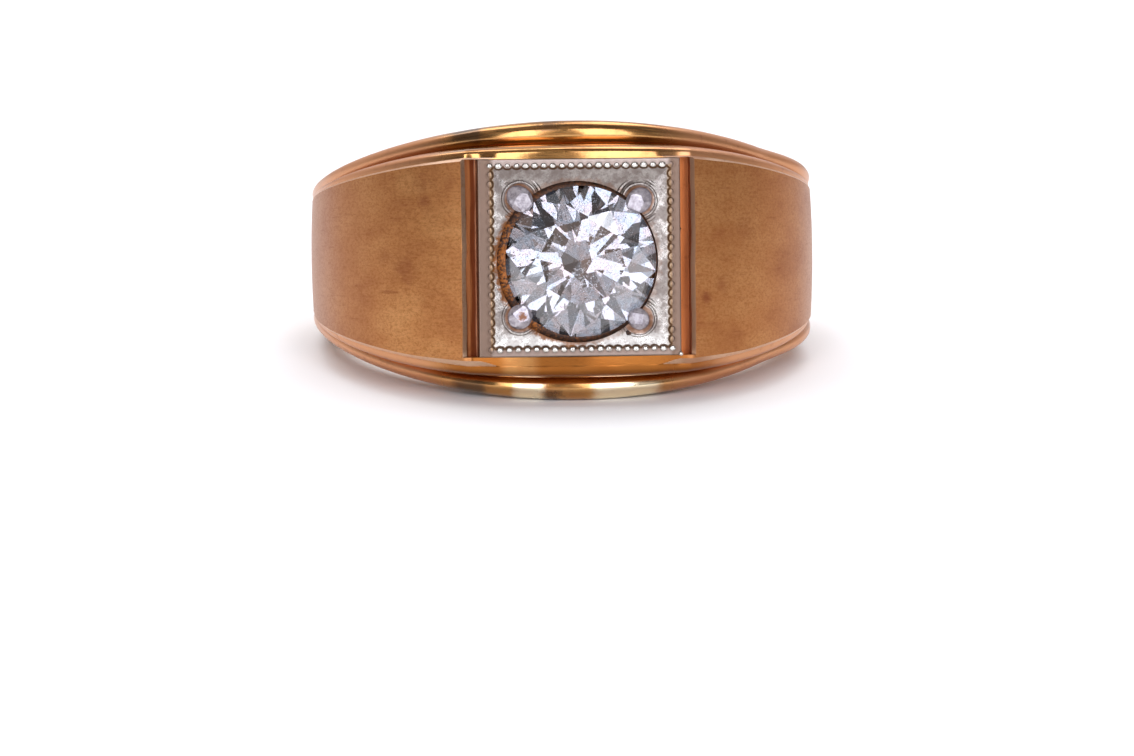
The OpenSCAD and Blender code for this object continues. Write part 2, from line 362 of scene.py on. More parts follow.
def band_mesh():
    """The whole band: half the section and its mirror image are spun, then fitted to each angle."""
    half = half_profile()
    profile = [(strip, share, 1) for strip, share in half]
    profile += [(strip, share, -1) for strip, share in reversed(half[1:-1])]
    bm = bmesh.new()
    strip_of = bm.verts.layers.int.new("strip")
    share_of = bm.verts.layers.float.new("share")
    side_of = bm.verts.layers.int.new("side")
    loop = []
    for strip, share, side in profile:
        y, r = at(Section(0, side), strip, share)
        v = bm.verts.new((0, side * y, r))
        v[strip_of], v[share_of], v[side_of] = strip, share, side
        loop.append(v)
    edges = [bm.edges.new((v, loop[(k + 1) % len(loop)])) for k, v in enumerate(loop)]
    spun(bm, loop + edges, (0, 1, 0), SPIN_STEPS)
    sections = {}
    for v in bm.verts:
        u = math.atan2(v.co.x, v.co.z)
        a = u - HEAD_SHARE * math.sin(u)
        key = (round(a, 6), v[side_of])
        if key not in sections:
            sections[key] = Section(a, v[side_of])
        y, r = at(sections[key], v[strip_of], v[share_of])
        r = FINGER_R + (r - FINGER_R) * INSIDE
        v.co = (r * math.sin(a), v[side_of] * y * INSIDE_Y, r * math.cos(a))
        if v[strip_of] in WAVY:
            v.co *= 1 - abs(noise.noise(v.co / WAVE_SIZE)) * WAVE_DEPTH / r
    for face in bm.faces:
        strip = max(v[strip_of] for v in face.verts)
        middle = face.calc_center_median()
        face.material_index = {FACE: SATIN, EDGE: WORN_EDGE}.get(strip, POLISHED)
        polished_to = {FACE: HEAD_W / 2, EDGE: CHAMFER_ENDS[0]}.get(strip, 0) + BESIDE
        if abs(middle.x) < polished_to and middle.z > 0:
            face.material_index = POLISHED
        face.smooth = True
    bm.verts.layers.float.remove(bm.verts.layers.float["share"])
    for name in ("strip", "side"):
        bm.verts.layers.int.remove(bm.verts.layers.int[name])
    bmesh.ops.recalc_face_normals(bm, faces=bm.faces)
    return bm


# Cutting

def made(bm, name, slots):
    """A bmesh as an object with that many material slots."""
    mesh = bpy.data.meshes.new(name)
    bm.to_mesh(mesh)
    bm.free()
    for _ in range(slots):
        mesh.materials.append(None)
    thing = bpy.data.objects.new(name, mesh)
    bpy.context.scene.collection.objects.link(thing)
    return thing


def carved(bm, cutters, slots, own_faces=False):
    """The mesh less the cutters. Faces that a cutter leaves keep the cutter's material number."""
    things = [made(bm, "body_to_carve", slots)]
    for cutter in cutters:
        tool = made(cutter, "cutter", slots)
        carve = things[0].modifiers.new("carve", "BOOLEAN")
        carve.operation = "DIFFERENCE"
        carve.solver = "EXACT"
        carve.use_self = own_faces
        carve.object = tool
        things.append(tool)
    result = bmesh.new()
    result.from_object(things[0], bpy.context.evaluated_depsgraph_get())
    for thing in things:
        mesh = thing.data
        bpy.data.objects.remove(thing)
        bpy.data.meshes.remove(mesh)
    return result


def block(size, centre, material):
    bm = bmesh.new()
    bmesh.ops.create_cube(bm, size=1)
    bmesh.ops.scale(bm, vec=size, verts=bm.verts)
    bmesh.ops.translate(bm, vec=centre, verts=bm.verts)
    for face in bm.faces:
        face.material_index = material
    return bm


def lathe(profile, steps, material, closed=False):
    """[radius, height] points turned round the Z axis: from axis to axis, or closed to a hoop."""
    bm = bmesh.new()
    chain = [bm.verts.new((r, 0, z)) for r, z in profile]
    first = 0 if closed else 1
    edges = [bm.edges.new((chain[k - 1], chain[k])) for k in range(first, len(chain))]
    spun(bm, chain + edges, (0, 0, 1), steps)
    bmesh.ops.remove_doubles(bm, verts=bm.verts, dist=1e-5)
    bmesh.ops.recalc_face_normals(bm, faces=bm.faces)
    for face in bm.faces:
        face.material_index = material
        face.smooth = True
    return bm


def rod(radius, low, high, steps, material):
    return lathe([(0, low), (radius, low), (radius, high), (0, high)], steps, material)


def ground(bm, point, normal):
    """Grinds the mesh flat: what lies outside the plane through the point goes."""
    slot = bm.faces[:][0].material_index
    geom = list(bm.verts) + list(bm.edges) + list(bm.faces)
    cut = bmesh.ops.bisect_plane(bm, geom=geom, dist=1e-5, plane_co=point, plane_no=normal, clear_outer=True)
    rim = [e for e in cut["geom_cut"] if isinstance(e, bmesh.types.BMEdge)]
    if rim:
        flats = bmesh.ops.contextual_create(bm, geom=rim)["faces"]
        for face in flats:
            face.material_index = slot


def moved(bm, matrix):
    bmesh.ops.transform(bm, matrix=matrix, verts=bm.verts)
    return bm


def joined(target, others):
    """Adds the other meshes to the first, each as it is."""
    for other in others:
        mesh = bpy.data.meshes.new("part")
        other.to_mesh(mesh)
        other.free()
        target.from_mesh(mesh)
        bpy.data.meshes.remove(mesh)
    return target


def creased(bm, angle):
    """Edges that turn by more than the angle are shaded as edges."""
    for edge in bm.edges:
        edge.smooth = len(edge.link_faces) == 2 and edge.calc_face_angle(0) < angle


def piece(bm, name, node, materials):
    """The finished mesh as a piece of the ring, laid where its node lies.

    Its attributes tell where a point is on the ring, in mm: place is x, y and z, wrap goes round
    the band, and groove is how far off the groove the point is.
    """
    mesh = bpy.data.meshes.new(name)
    bm.to_mesh(mesh)
    bm.free()
    for material in materials:
        mesh.materials.append(material)
    spots = [v.co.copy() for v in mesh.vertices]
    stored(mesh, "place", spots)
    stored(mesh, "wrap", [wrapped(co) for co in spots])
    stored(mesh, "groove", [from_groove(co) for co in spots])
    mesh.transform(LYING)
    thing = bpy.data.objects.new(name, mesh)
    bpy.context.scene.collection.objects.link(thing)
    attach(thing, "root")
    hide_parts(node)
    return thing


def stored(mesh, name, vectors):
    layer = mesh.attributes.new(name, "FLOAT_VECTOR", "POINT")
    layer.data.foreach_set("vector", [number for vector in vectors for number in vector])


def wrapped(co):
    """Way round the band from the head in mm, place across it, and a number that tells left from right."""
    a = math.atan2(co.x, co.z)
    return abs(a) * MEAN_R, co.y, 3 * math.sin(a)


def from_groove(co):
    """Distance from the groove beside the rail, across and outwards."""
    a = math.atan2(co.x, co.z)
    return abs(co.y) - groove_y(a), math.hypot(co.x, co.z) - groove_r(a), 0


# Shank

def recess_cutter():
    """A box whose ends flare over the shoulders' inner edges, crowned as they are."""
    half_x = HEAD_W / 2 + CHANNEL_W
    half_y = HEAD_H / 2 + PLAY
    flare_z = SLAB_Z - FLARE_DEPTH
    bm = block((2 * half_x, 2 * half_y, flare_z - FLOOR_Z), (0, HEAD_SHIFT, (flare_z + FLOOR_Z) / 2), CHANNEL)
    top = next(f for f in bm.faces if f.normal.z > 0.9)
    lifted = bmesh.ops.extrude_face_region(bm, geom=[top])["geom"]
    bmesh.ops.delete(bm, geom=[top], context="FACES_ONLY")
    corners = [v for v in lifted if isinstance(v, bmesh.types.BMVert)]
    bmesh.ops.translate(bm, vec=(0, 0, FLARE_TOP), verts=corners)
    bmesh.ops.scale(bm, vec=((half_x + FLARE_TOP * FLARE_LIE) / half_x, 1, 1), verts=corners)
    along = [e for e in bm.edges if abs(e.verts[0].co.y - e.verts[1].co.y) > half_y]
    bmesh.ops.subdivide_edges(bm, edges=along, cuts=15, use_grid_fill=True)
    for v in bm.verts:
        if v.co.z > FLOOR_Z + 0.1:
            v.co.z += SLAB_CROWN * (1 - (v.co.y / (SLAB_W / 2)) ** 2)
            v.co.x *= 1 + noise.noise(v.co) * RECESS_UNEVEN
    bmesh.ops.recalc_face_normals(bm, faces=bm.faces)
    for face in bm.faces:
        if 0.1 < abs(face.normal.x) < 0.9:
            face.material_index = WORN_EDGE
    return bm


def shank(materials):
    azure = moved(rod(AZURE_R, FINGER_R - 2, FLOOR_Z + 0.5, 96, CHANNEL), Matrix.Translation(STONE_AT))
    bm = carved(band_mesh(), [recess_cutter(), azure], len(materials))
    creased(bm, math.radians(28))
    return piece(bm, "shank_gold", "shank", materials)


# Setting

PLATE, BORDER, GRIME, PRONG, SEAT, BEAD = range(6)


def plate_block():
    """The head's block: a flat border round four facets that slope to the stone."""
    bm = block(
        (HEAD_W, HEAD_H, PLATE_Z - FLOOR_Z - PLAY), (0, HEAD_SHIFT, (PLATE_Z + FLOOR_Z + PLAY) / 2), BORDER
    )
    rims = [e for e in bm.edges if all(v.co.z > PLATE_Z - 0.01 for v in e.verts)]
    bmesh.ops.bevel(
        bm, geom=rims, offset=HEAD_ROUND, offset_type="OFFSET", segments=3, profile=0.5,
        affect="EDGES", material=-1,
    )
    top = max(bm.faces, key=lambda f: f.calc_center_median().z)
    bmesh.ops.inset_region(bm, faces=[top], thickness=0.3, use_even_offset=True)
    for v in top.verts:
        side_x = math.copysign(GRAIN_W / 2 - GRAIN_R * GRAIN_CUT, v.co.x)
        side_y = math.copysign(GRAIN_H / 2 - GRAIN_R * GRAIN_CUT, v.co.y - HEAD_SHIFT)
        v.co = (GRAIN_AT.x + side_x, GRAIN_AT.y + side_y, PLATE_Z)
    slope = bmesh.ops.inset_region(
        bm, faces=[top], thickness=DISH_DEPTH / math.tan(DISH_SLOPE), use_even_offset=True
    )
    for face in slope["faces"]:
        face.material_index = PLATE
    top.material_index = PLATE
    bmesh.ops.translate(bm, vec=(0, 0, -DISH_DEPTH), verts=list(top.verts))
    return bm


def bead(spot, radius, material, stretch=(1, 1, 1)):
    bm = bmesh.new()
    bmesh.ops.create_uvsphere(bm, u_segments=14, v_segments=9, radius=radius)
    bmesh.ops.scale(bm, vec=stretch, verts=bm.verts)
    for face in bm.faces:
        face.smooth = True
        face.material_index = material
    return moved(bm, Matrix.Translation(spot))


def milgrain():
    """A row of beads along each side of the border, each struck a little off its place."""
    beads = []
    for k in range(GRAIN_COUNT):
        for side in (-1, 1):
            along = side * (k / GRAIN_COUNT - 0.5)
            for x, y, stretch, material in (
                (along * GRAIN_W, side * GRAIN_H / 2, (GRAIN_LENGTH, 1, 0.6), BEAD),
                (-side * GRAIN_W / 2, along * GRAIN_H, (1, GRAIN_LENGTH, 0.45), BORDER),
            ):
                spot = GRAIN_AT + Vector((x, y, PLATE_Z - GRAIN_SUNK))
                struck = noise.noise_vector(spot * 3)
                radius = GRAIN_R * (1 + struck.z * GRAIN_UNEVEN)
                beads.append(bead(spot + struck * GRAIN_OFF, radius, material, stretch))
    return joined(beads[0], beads[1:])


def collar(radius, wall, height):
    """A round rim with a soft top."""
    top = PLATE_Z + height - wall / 2
    profile = [(radius - wall, ROOT_Z)]
    for k in range(7):
        t = math.pi * (1 - k / 6)
        profile.append((radius - wall / 2 + math.cos(t) * wall / 2, top + math.sin(t) * wall / 2))
    profile.append((radius, ROOT_Z))
    return lathe(profile, 64, PLATE, closed=True)


def prong(x, y, half_w, half_l, lean, flats):
    """A prong pressed over the stone and filed flat in a few places."""
    foot = PRONG_TOP - PRONG_DOME
    profile = [(0, ROOT_Z), (1, ROOT_Z), (1, foot)]
    for k in range(1, 10):
        t = math.pi / 2 * k / 9
        profile.append((math.cos(t), foot + math.sin(t) * PRONG_DOME))
    bm = lathe(profile, 64, PRONG)
    bmesh.ops.scale(bm, vec=(half_l, half_w, 1), verts=bm.verts)
    size = Vector((half_l, half_w, PRONG_DOME))
    for way, slope, share in flats:
        way, slope = math.radians(way), math.radians(slope)
        normal = Vector((math.cos(way) * math.sin(slope), math.sin(way) * math.sin(slope), math.cos(slope)))
        ground(bm, Vector((0, 0, foot)) + normal * (normal * size).length * share, normal)
    spot = Vector((x, y, 0))
    to_stone = STONE_AT - spot
    moved(bm, Matrix.Rotation(math.atan2(to_stone.y, to_stone.x), 4, "Z"))
    for v in bm.verts:
        height = min(1, max(0, (v.co.z - foot) / PRONG_DOME))
        v.co += to_stone.normalized() * lean * height
        v.co += noise.noise_vector((spot + v.co) * 2.2) * PRONG_UNEVEN * height
    return moved(bm, Matrix.Translation(spot))


def stone_room(material):
    """Room for the stone: its outline turned round, a little larger."""
    r = STONE_R + PLAY
    low = GIRDLE_Z - GIRDLE_T - GIRDLE_WAVE * 2
    high = GIRDLE_Z + GIRDLE_WAVE + PLAY
    over = high + CROWN_H + 1
    room = lathe([
        (0, low - r * math.tan(PAVILION_ANGLE)), (r, low), (r, high), (TABLE_R + PLAY, high + CROWN_H),
        (TABLE_R + PLAY, over), (0, over),
    ], 128, material)
    return moved(room, Matrix.Translation(STONE_AT))


def dirt_ring():
    """Dried dirt in the gap round the stone and a little over its edge, thickest at the lower left."""
    inner = STONE_R + 0.03
    outer = STONE_HOLE_R + 0.03
    low = GIRDLE_Z - 0.45
    high = GIRDLE_Z + GIRDLE_WAVE
    lip = STONE_R - 0.05
    rim = mixed(lip, outer, 0.45)
    bm = lathe([
        (inner, low), (inner, high), (lip, high + 0.07), (lip + 0.02, high + 0.08), (rim, high - 0.04),
        (outer, high - 0.16), (outer, low),
    ], 320, GRIME, closed=True)
    for v in bm.verts:
        outwards = smooth(lip, outer, v.co.xy.length)
        if v.co.z > high - 0.17:
            lump = noise.noise(v.co * 3.1) + noise.noise(v.co * 11) * 0.5
            heap = 0.5 + 0.5 * max(0, DIRT_WAY.dot(v.co.xy.normalized()))
            v.co.z += DIRT_RISE * heap * (0.6 + lump)
        v.co += STONE_AT.lerp(HOLE_AT, outwards)
    return bm


def setting(materials):
    body = joined(plate_block(), [milgrain()])
    for x, y, *_ in PRONGS:
        for radius, wall, height in COLLARS:
            body = joined(body, [moved(collar(radius, wall, height), Matrix.Translation((x, y, 0)))])
    for x, y, z, radius in SOLDER_DROPS:
        body = joined(body, [bead((x, y, z), radius, BEAD)])
    hole = moved(rod(STONE_HOLE_R, SEAT_Z, PLATE_Z + 1, 128, SEAT), Matrix.Translation(HOLE_AT))
    under = moved(rod(SEAT_R, FLOOR_Z - 1, SEAT_Z + 0.5, 96, SEAT), Matrix.Translation(HOLE_AT))
    pit = bead(PIT_AT, PIT_R, GRIME)
    body = carved(body, [hole, under, stone_room(SEAT), pit], len(materials), own_faces=True)
    prongs = [prong(*row) for row in PRONGS]
    prongs = carved(joined(prongs[0], prongs[1:]), [stone_room(PRONG)], len(materials))
    creased(body, math.radians(35))
    creased(prongs, math.radians(16))
    whole = joined(body, [prongs, dirt_ring()])
    return piece(whole, "setting_white_gold", "setting", materials)


# Stone

def round_point(r, turn, z):
    return Vector((r * math.cos(turn), r * math.sin(turn), z))


def facet(bm, a, b, c):
    """Grinds a flat facet through three points."""
    normal = (b - a).cross(c - a).normalized()
    ground(bm, a, normal if normal.dot(a) > 0 else -normal)


def above(r, turn):
    """The point, r from the axis, on the edge between two of the crown's main facets."""
    rise = GIRDLE_WAVE + (STONE_R - r * math.cos(math.pi / 8)) * math.tan(CROWN_ANGLE)
    return round_point(r, turn, rise)


def below(r, turn):
    """The point, r from the axis, on the edge between two of the pavilion's main facets."""
    fall = GIRDLE_T + GIRDLE_WAVE + (STONE_R - r * math.cos(math.pi / 8)) * math.tan(PAVILION_ANGLE)
    return round_point(r, turn, -fall)


def brilliant():
    """A round brilliant, ground from a rod: 33 facets above the girdle and 24 below, and a tiny culet."""
    high = GIRDLE_WAVE
    low = -GIRDLE_T - GIRDLE_WAVE
    apex = Vector((0, 0, high + STONE_R * math.tan(CROWN_ANGLE)))
    tip = Vector((0, 0, low - PAVILION_H))
    star_r = (TABLE_R * math.cos(math.pi / 8) + STONE_R) / 2
    deep_r = STONE_R * PAVILION_STAR
    bm = bmesh.new()
    bmesh.ops.create_cone(
        bm, cap_ends=True, segments=128, radius1=STONE_R, radius2=STONE_R, depth=CROWN_H + PAVILION_H + 1
    )
    bmesh.ops.translate(bm, vec=(0, 0, (CROWN_H - PAVILION_H) / 2), verts=bm.verts)
    eighth = math.pi / 4
    facet(bm, *(round_point(TABLE_R, k * eighth, CROWN_H) for k in range(3)))
    for k in range(8):
        t = k * eighth
        star = above(star_r, t + eighth / 2)
        deep = below(deep_r, t + eighth / 2)
        top = round_point(STONE_R, t, high)
        foot = round_point(STONE_R, t, low)
        across = Vector((-math.sin(t), math.cos(t), 0))
        facet(bm, top, top + across, apex)
        facet(bm, foot, foot + across, tip)
        facet(bm, round_point(TABLE_R, t, CROWN_H), round_point(TABLE_R, t + eighth, CROWN_H), star)
        for half in (0, 1):
            start = t + half * eighth / 2
            end = start + eighth / 2
            facet(bm, round_point(STONE_R, start, high), round_point(STONE_R, end, high), star)
            facet(bm, round_point(STONE_R, start, low), round_point(STONE_R, end, low), deep)
    culet = tip.z + CULET
    facet(bm, Vector((0, 0, culet)), Vector((1, 0, culet)), Vector((0, 1, culet)))
    bmesh.ops.recalc_face_normals(bm, faces=bm.faces)
    return bm


def diamond(materials):
    bm = brilliant()
    moved(bm, Matrix.Translation(STONE_AT + Vector((0, 0, GIRDLE_Z))) @ Matrix.Rotation(STONE_TURN, 4, "Z"))
    return piece(bm, "diamond_brilliant", "diamond", materials)


# Shader nodes

class Value:
    """A number that changes over a surface. Its operators add Math nodes."""

    def __init__(self, finish, socket):
        self.finish = finish
        self.socket = socket

    def math(self, operation, first, second=0.0):
        return self.finish.node("ShaderNodeMath", {"operation": operation}, {0: first, 1: second})

    def __add__(self, other):
        return self.math("ADD", self, other)

    def __radd__(self, other):
        return self.math("ADD", other, self)

    def __sub__(self, other):
        return self.math("SUBTRACT", self, other)

    def __rsub__(self, other):
        return self.math("SUBTRACT", other, self)

    def __mul__(self, other):
        return self.math("MULTIPLY", self, other)

    def __rmul__(self, other):
        return self.math("MULTIPLY", other, self)

    def __truediv__(self, other):
        return self.math("DIVIDE", self, other)

    def __rtruediv__(self, other):
        return self.math("DIVIDE", other, self)

    def __pow__(self, other):
        return self.math("POWER", self, other)

    def __rpow__(self, other):
        return self.math("POWER", other, self)

    def __mod__(self, other):
        return self.math("FLOORED_MODULO", self, other)

    def __rmod__(self, other):
        return self.math("FLOORED_MODULO", other, self)

    def __abs__(self):
        return self.math("ABSOLUTE", self)

    def __or__(self, other):
        """The larger of the two."""
        return self.math("MAXIMUM", self, other)

    __ror__ = __or__

    def __and__(self, other):
        """The smaller of the two."""
        return self.math("MINIMUM", self, other)

    __rand__ = __and__


class Finish:
    """The nodes of one material, or of the room."""

    def __init__(self, owner):
        self.owner = owner
        owner.use_nodes = True
        self.tree = owner.node_tree
        self.tree.nodes.clear()

    def node(self, kind, settings=None, sockets=None, output=0):
        made_node = self.tree.nodes.new(kind)
        for name, value in (settings or {}).items():
            if name == "stops":
                ramp = made_node.color_ramp
                while len(ramp.elements) < len(value):
                    ramp.elements.new(0.5)
                for element, (position, tone) in zip(ramp.elements, value):
                    element.position = position
                    element.color = tone
            else:
                setattr(made_node, name, value)
        for name, value in (sockets or {}).items():
            if isinstance(value, Value):
                self.tree.links.new(value.socket, made_node.inputs[name])
            else:
                made_node.inputs[name].default_value = value
        return Value(self, made_node.outputs[output]) if made_node.outputs else None

    def attribute(self, name):
        return self.node("ShaderNodeAttribute", {"attribute_name": name}, output=1)

    def part(self, vector, axis):
        return self.node("ShaderNodeSeparateXYZ", None, {0: vector}, output="XYZ".index(axis))

    def stretched(self, vector, scale, shift=(0, 0, 0)):
        return self.node("ShaderNodeMapping", None, {"Vector": vector, "Scale": scale, "Location": shift})

    def noise(self, vector, scale, detail=3.0, roughness=0.5):
        return self.node("ShaderNodeTexNoise", None, {
            "Vector": vector, "Scale": scale, "Detail": detail, "Roughness": roughness,
        })

    def step(self, value, low, high):
        """Smoothly from 0 at low to 1 at high, also where high is the lower number."""
        return self.node("ShaderNodeMapRange", {"interpolation_type": "SMOOTHSTEP"}, {
            "Value": value, "From Min": low, "From Max": high,
        })

    def ramp(self, value, stops):
        return self.node("ShaderNodeValToRGB", {"stops": stops}, {0: value})

    def mix(self, share, first, second):
        return self.node("ShaderNodeMix", {"data_type": "RGBA"}, {0: share, 6: first, 7: second}, output=2)

    def distance(self, vector, point):
        return self.node("ShaderNodeVectorMath", {"operation": "DISTANCE"}, {0: vector, 1: point}, output=1)

    def bump(self, height, distance, strength):
        return self.node("ShaderNodeBump", None, {
            "Height": height, "Distance": distance, "Strength": strength,
        })

    def surface(self, sockets):
        shader = self.node("ShaderNodeBsdfPrincipled", None, sockets)
        self.node("ShaderNodeOutputMaterial", None, {"Surface": shader})
        return self.owner


def finish(name):
    return Finish(bpy.data.materials.new(name))


def colour(red, green, blue):
    """A colour as seen on a screen, 0 to 255, as the light that it stands for."""
    shares = [c / 255 for c in (red, green, blue)]
    linear = [s / 12.92 if s <= 0.04045 else ((s + 0.055) / 1.055) ** 2.4 for s in shares]
    return (*linear, 1)


# Tarnish on the shoulders: place and radius in mm, and strength
TARNISH = (
    ((-6.68, 3.42, 11.36), 0.75, 0.55),
    ((-6.6, 2.69, 11.41), 0.6, 0.75),
    ((-7.39, -0.34, 10.79), 1.1, 0.6),
    ((-6.61, -1.85, 11.41), 0.5, 0.35),
    ((-5.59, 3.42, 12.07), 0.6, 0.4),
    ((-8.26, 0.16, 9.95), 0.6, 0.4),
    ((-5.3, -2.8, 12.2), 0.7, 0.3),
    ((5.52, -1.63, 12.11), 0.42, 0.9),
    ((6.26, -1.18, 11.65), 0.5, 0.5),
    ((7.38, 1.3, 10.81), 0.8, 0.3),
    ((5.1, 2.44, 12.33), 0.35, 0.35),
)
SPECKS = (((-5.54, -3.43, 12.09), 0.09), ((5.1, 2.44, 12.33), 0.06), ((-6.2, 0.9, 11.66), 0.05))
SCRATCH_AT = (-8.07, -1.31, 10.15)
POLISHED_LEFT = 0.8         # the middle of the rails' polished length is that far left of the head's
POLISHED_REACH = 4.6        # and it goes that far to each side, in mm


def satin_gold():
    """Brushed round the finger, with clouds and spots of brown tarnish."""
    f = finish("satin_gold")
    wrap = f.attribute("wrap")
    place = f.attribute("place")
    grain = f.noise(f.stretched(wrap, (2.4, 18, 1)), 1.0, 5, 0.75)
    fine = f.noise(f.stretched(wrap, (7, 9, 1)), 1.0, 5, 0.8)
    cloud = f.noise(f.stretched(wrap, (0.34, 0.5, 0.5), (3, 0, 0)), 1.0, 5, 0.62)
    streak = f.noise(f.stretched(wrap, (0.7, 5, 1), (0, 4, 0)), 1.0, 3, 0.6)
    tarnish = f.step(cloud, 0.5, 0.72) * 0.35 + f.step(streak, 0.58, 0.78) * 0.4
    ragged = f.noise(f.stretched(wrap, (1.6, 3.2, 1)), 1.0, 5, 0.75) - 0.5
    for spot, radius, strength in TARNISH:
        away = f.distance(place, spot) + ragged * radius * 2.4
        tarnish = tarnish | f.step(away, radius, radius * -0.1) * strength
    for spot, radius in SPECKS:
        tarnish = tarnish | f.step(f.distance(place, spot), radius, radius * 0.5)
    squeeze = Vector((0.35, 2.6, 0.35))
    scratch = f.distance(f.stretched(place, squeeze), Vector(SCRATCH_AT) * squeeze)
    tarnish = tarnish | f.step(scratch + ragged * 0.5, 0.26, 0.06) * 0.55
    tarnish = tarnish * (f.step(grain, 0.35, 0.65) * 0.5 + 0.6)
    x = f.part(place, "X")
    tone = f.mix(f.step(cloud, 0.3, 0.6), colour(212, 154, 98), colour(196, 134, 82))
    tone = f.mix(f.step(x, 0.0, 1.0) * 0.3, tone, colour(136, 76, 40))
    # Towards the far ends a little browner. Then paler and greyer at the very ends: a painted reflection, as
    # where the band is seen at a grazing angle.
    tone = f.mix(f.step(abs(x), 8.5, 10.6) * 0.35, tone, colour(160, 110, 80))
    tone = f.mix(f.step(abs(x), 9.8, 11.3) * 0.55, tone, colour(196, 160, 142))
    tone = f.mix(f.step(x, -7.0, -9.5) * 0.3, tone, colour(146, 98, 70))
    tone = f.mix(tarnish, tone, colour(132, 72, 48))
    tone = f.mix(f.step(fine, 0.4, 0.68) * 0.6, tone, colour(146, 88, 48))
    tone = f.mix(f.step(grain, 0.5, 0.75) * 0.25, tone, colour(146, 88, 58))
    back = f.step(f.part(place, "Z"), 1.0, -4.0)
    tone = f.mix(back * 0.6, tone, colour(230, 172, 106))
    return f.surface({
        "Base Color": tone, "Metallic": 1.0,
        "Roughness": grain * 0.12 + tarnish * 0.08 - back * 0.18 + 0.38,
        "Normal": f.bump(grain * 0.7 + fine * 0.6, 0.00001, 0.6),
    })


def polished_gold():
    """Rails and bands: polished near the head, with soot and painted dark reflections above it and to its
    left, and painted highlights and painted shade below it.

    Further round they are dull, with a painted pale reflection at the far ends, and the grooves are brown.
    """
    f = finish("polished_gold")
    wrap = f.attribute("wrap")
    place = f.attribute("place")
    groove = f.attribute("groove")
    across = abs(f.part(wrap, "Y"))
    x = f.part(place, "X")
    y = f.part(place, "Y")
    z = f.part(place, "Z")
    cloud = f.noise(f.stretched(wrap, (0.5, 0.8, 0.5)), 1.0, 4, 0.65)
    spots = f.noise(place, 2.4, 4, 0.7)
    outside = f.step((x ** 2 + z ** 2) ** 0.5, FINGER_R + 0.2, FINGER_R + 0.6)
    front = f.step(z, -2.0, 3.0) * outside
    far = f.step(abs(x + POLISHED_LEFT) + cloud, POLISHED_REACH - 0.4, POLISHED_REACH + 2.2) * front
    into = (f.part(groove, "X") ** 2 + f.part(groove, "Y") ** 2) ** 0.5
    brown = f.step(into + cloud * 0.1, 0.34, 0.04)
    rail = f.step(across, 5.0, 5.3) * front
    # Painted dark reflection on the rails to the left of the head.
    painted_dark_reflection = f.step(abs(x + 4.7) + spots * 0.6, 1.2, 0.7) * rail
    # Soot on the crest above the head, and a painted dark reflection between the two highlights.
    soot_and_dark_reflection = f.step(abs(x + 1.2) + spots * 2.4, 2.2, 1.3) * f.step(across, 5.5, 5.7) * front
    # Painted shade on the band below the head, orange-brown, left lighter where the band's highlight falls.
    under = f.step(y, -3.9, -4.1) * f.step(y, -5.3, -4.9) * f.step(abs(x), 7.0, 5.0) * front
    under = under * (1 - f.step(abs(x + 2.6), 1.0, 0.4) * 0.6)
    # Painted highlights on the rail below the head, in the two places where the lamps show above it.
    painted_highlight = f.step(abs(x + 2.15) + spots * 0.5, 1.1, 0.6) | f.step(abs(x - 2.1) + spots * 0.5, 2.0, 1.3)
    painted_highlight = painted_highlight * f.step(y, -5.2, -5.4) * front
    # Painted reflection: the rails paler and pinker at the far ends, as where they are seen at a grazing
    # angle.
    sides = f.step(abs(x), 10.2, 11.2) * outside
    tone = f.mix(f.step(cloud, 0.4, 0.7), colour(196, 144, 82), colour(172, 116, 62))
    tone = f.mix(far, tone, colour(206, 148, 106))
    tone = f.mix(f.step(spots, 0.55, 0.72) * far * 0.4, tone, colour(166, 108, 78))
    tone = f.mix(sides * 0.7, tone, colour(208, 166, 142))
    tone = f.mix(brown * 0.7, tone, colour(184, 124, 74))
    tone = f.mix(painted_dark_reflection * 0.8, tone, colour(96, 72, 50))
    tone = f.mix(soot_and_dark_reflection * 0.75, tone, colour(96, 66, 42))
    tone = f.mix(under * 0.9, tone, colour(144, 84, 34))
    tone = f.mix(painted_highlight * 0.8, tone, colour(255, 240, 205))
    return f.surface({
        "Base Color": tone, "Metallic": 1.0,
        "Roughness": far * 0.26 + brown * 0.25 + soot_and_dark_reflection * 0.15 + (1 - outside) * 0.18 + cloud * 0.06 + 0.12,
        "Normal": f.bump(spots, 0.00001, 0.25),
        "Coat Weight": (front - far * 0.7) * (1 - under) * 0.5, "Coat Roughness": 0.12,
    })


def worn_edge_gold():
    """Chamfers worn smooth, their gold painted paler and a little pink: a sheen for the bright light that
    they catch.
    """
    f = finish("worn_edge_gold")
    wrap = f.attribute("wrap")
    place = f.attribute("place")
    cloud = f.noise(f.stretched(wrap, (1, 3, 1)), 1.0, 3, 0.6)
    fine = f.noise(place, 6, 4, 0.7)
    x = f.part(place, "X")
    beside = f.step(x, 4.2, 4.6) * f.step(x, 6.0, 5.2)
    wear = f.step(fine, 0.5, 0.7) * 0.35 | beside * 0.6
    tone = f.mix(cloud, colour(234, 202, 172), colour(208, 164, 130))
    return f.surface({
        "Base Color": f.mix(wear, tone, colour(176, 122, 90)), "Metallic": 1.0,
        "Roughness": cloud * 0.1 + 0.32,
    })


